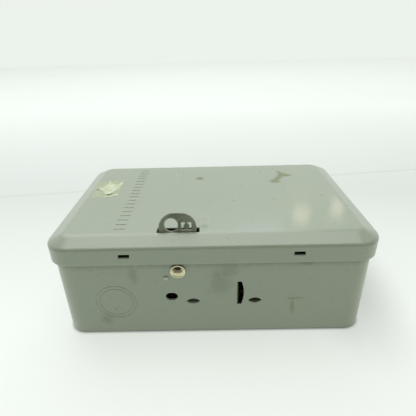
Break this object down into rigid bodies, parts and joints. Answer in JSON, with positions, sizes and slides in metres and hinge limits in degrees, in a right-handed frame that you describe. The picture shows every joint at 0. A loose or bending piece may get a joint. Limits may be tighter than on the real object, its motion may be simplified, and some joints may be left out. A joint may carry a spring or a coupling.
{
  "type": "breaker panel box",
  "caption": "Surface-mounted pressed-steel breaker enclosure with a hinged bevelled cover, a leaning padlock hasp and push-button breakers inside.",
  "frame": {"origin": "centre of the flat back face that lies against the wall", "axes": "+Z out of the wall towards the cover, X along the long side, -Y towards the hasp side"},
  "size_m": [0.272, 0.1853, 0.112],
  "materials": {
    "grey_enamel": "semi-gloss grey baking enamel with a slight green cast",
    "hasp_enamel": "the same grey enamel, thinner and worn at the edges",
    "nickel": "bright nickel plate",
    "zinc_steel": "zinc plated steel, satin",
    "spring_steel": "blued spring steel",
    "hinge_steel": "grey enamel over steel",
    "tinned_copper": "tin plated copper, satin",
    "brass": "rolled brass, slightly tarnished",
    "phenolic_black": "moulded phenolic, satin",
    "phenolic_brown": "moulded phenolic, satin",
    "button_cream": "moulded urea, glossy",
    "guard_enamel": "grey enamel, satin",
    "card_stock": "aged card, matt"
  },
  "bodies": {
    "box": {"back_box": "grey_enamel", "box_hinge_leaf_left": "hinge_steel", "box_hinge_leaf_right": "hinge_steel", "box_leaf_rivets": "hinge_steel", "breaker_case_1": "phenolic_black", "breaker_case_2": "phenolic_black", "breaker_case_3": "phenolic_black", "breaker_case_4": "phenolic_black", "breaker_rail": "zinc_steel", "bus_bar_a": "tinned_copper", "bus_bar_b": "tinned_copper", "bus_bar_screws": "zinc_steel", "bus_base": "phenolic_brown", "dead_front": "guard_enamel", "dead_front_posts": "zinc_steel", "dead_front_screws": "zinc_steel", "ground_bar": "tinned_copper", "ground_mount_screws": "zinc_steel", "ground_spacers": "zinc_steel", "ground_wire_screws": "zinc_steel", "hasp_bracket": "hasp_enamel", "hasp_rivet": "nickel", "hinge_pin_left": "zinc_steel", "hinge_pin_right": "zinc_steel", "interior_pan": "zinc_steel", "load_terminal_screws": "zinc_steel", "load_terminals": "brass", "lug_set_screws": "zinc_steel", "main_lug_a": "tinned_copper", "main_lug_b": "tinned_copper", "neutral_bar": "brass", "neutral_insulators": "phenolic_black", "neutral_mount_screws": "zinc_steel", "neutral_wire_screws": "zinc_steel", "pan_screws": "zinc_steel"},
    "cover": {"cover": "grey_enamel", "cover_hinge_leaf_left": "hinge_steel", "cover_hinge_leaf_right": "hinge_steel", "cover_leaf_rivets": "hinge_steel", "circuit_card": "card_stock", "card_frame": "zinc_steel"},
    "catch_left": {"catch_spring_left": "spring_steel"},
    "catch_right": {"catch_spring_right": "spring_steel"},
    "button_1": {"push_button_1": "button_cream"},
    "button_2": {"push_button_2": "button_cream"},
    "button_3": {"push_button_3": "button_cream"},
    "button_4": {"push_button_4": "button_cream"}
  },
  "joints": [
    {"name": "cover_hinge", "type": "hinge", "parent": "box", "child": "cover", "pos_m": [0, 0.0925, 0.074], "axis": [-1, 0, 0], "range_deg": [0, 115]},
    {"name": "catch_left_flex", "type": "hinge", "parent": "box", "child": "catch_left", "pos_m": [-0.0702, -0.0852, 0.058], "axis": [-1, 0, 0], "range_deg": [0, 3], "stiffness_Nm_per_rad": 0.6},
    {"name": "catch_right_flex", "type": "hinge", "parent": "box", "child": "catch_right", "pos_m": [0.0687, -0.0852, 0.058], "axis": [-1, 0, 0], "range_deg": [0, 3], "stiffness_Nm_per_rad": 0.6},
    {"name": "button_1_push", "type": "slide", "parent": "box", "child": "button_1", "axis": [0, 0, -1], "range_m": [0, 0.003], "stiffness_N_per_m": 400, "springref_m": -0.001},
    {"name": "button_2_push", "type": "slide", "parent": "box", "child": "button_2", "axis": [0, 0, -1], "range_m": [0, 0.003], "stiffness_N_per_m": 400, "springref_m": -0.001},
    {"name": "button_3_push", "type": "slide", "parent": "box", "child": "button_3", "axis": [0, 0, -1], "range_m": [0, 0.003], "stiffness_N_per_m": 400, "springref_m": -0.001},
    {"name": "button_4_push", "type": "slide", "parent": "box", "child": "button_4", "axis": [0, 0, -1], "range_m": [0, 0.003], "stiffness_N_per_m": 400, "springref_m": -0.001}
  ]
}
